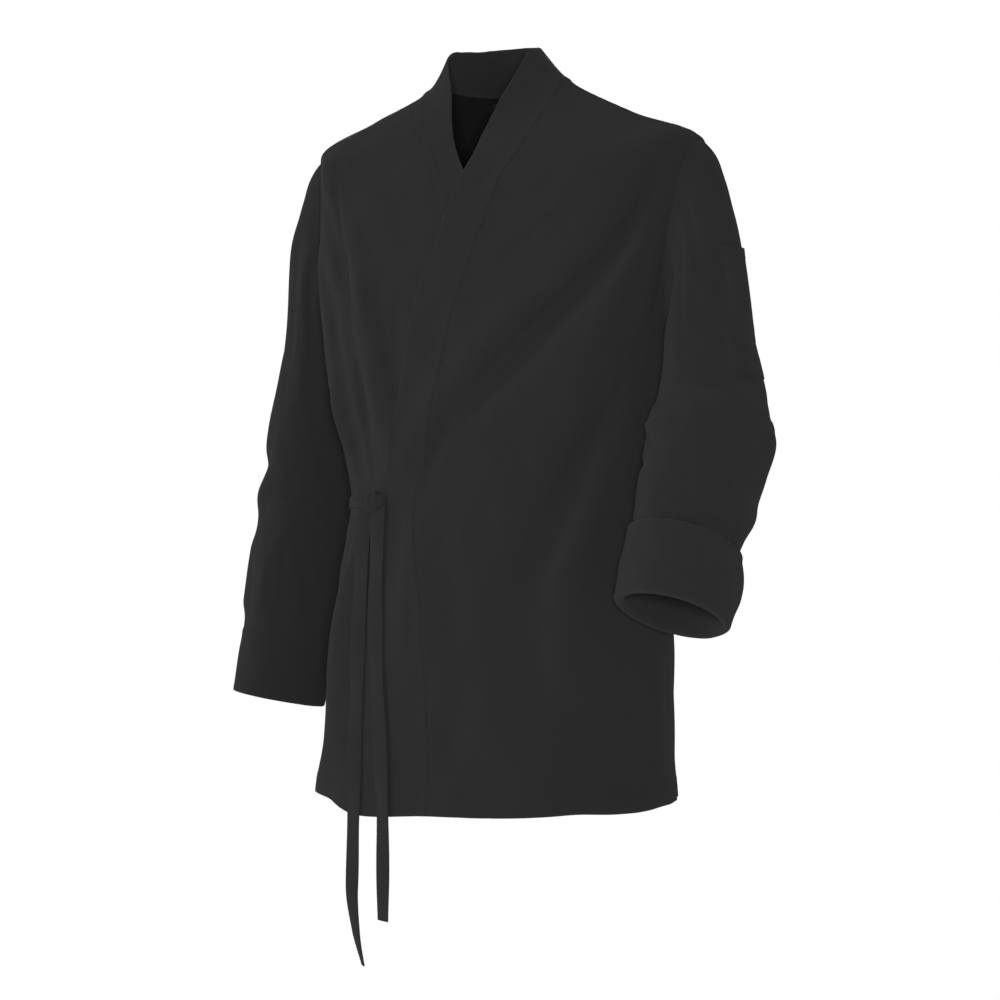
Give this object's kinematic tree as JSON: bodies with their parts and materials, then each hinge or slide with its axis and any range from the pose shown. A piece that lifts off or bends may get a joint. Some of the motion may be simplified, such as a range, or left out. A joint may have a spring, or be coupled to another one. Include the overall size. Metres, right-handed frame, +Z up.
{
  "type": "wrap chef jacket",
  "caption": "Worn-form wrap chef jacket with a band collar, lapped fronts tied at the right side, a plain cuffed sleeve, a bent sleeve with a turned-back cuff and an upper-arm pocket.",
  "frame": {"origin": "middle of the neck opening at the height where the shoulder seams meet the neck, where the wearer's shoulders hold the jacket", "axes": "+Z up along the jacket's length, -Y out of the jacket's front, +X towards the wearer's left sleeve"},
  "size_m": [0.6196, 0.2792, 0.9095],
  "materials": {
    "jacket_cloth": "matt charcoal poly-cotton",
    "tie_cloth": "matt charcoal poly-cotton, folded and stitched flat",
    "loop_tape": "matt black tape"
  },
  "bodies": {
    "root": {"arm_pocket": "jacket_cloth", "back": "jacket_cloth", "band_left": "jacket_cloth", "band_right": "jacket_cloth", "cuff_left": "jacket_cloth", "cuff_right": "jacket_cloth", "front_left": "jacket_cloth", "front_right": "jacket_cloth", "hanger_loop": "loop_tape", "sleeve_left": "jacket_cloth", "sleeve_right": "jacket_cloth", "tie_knot": "tie_cloth", "tie_tail_long": "tie_cloth", "tie_tail_short": "tie_cloth", "tie_waist": "tie_cloth"}
  },
  "joints": []
}
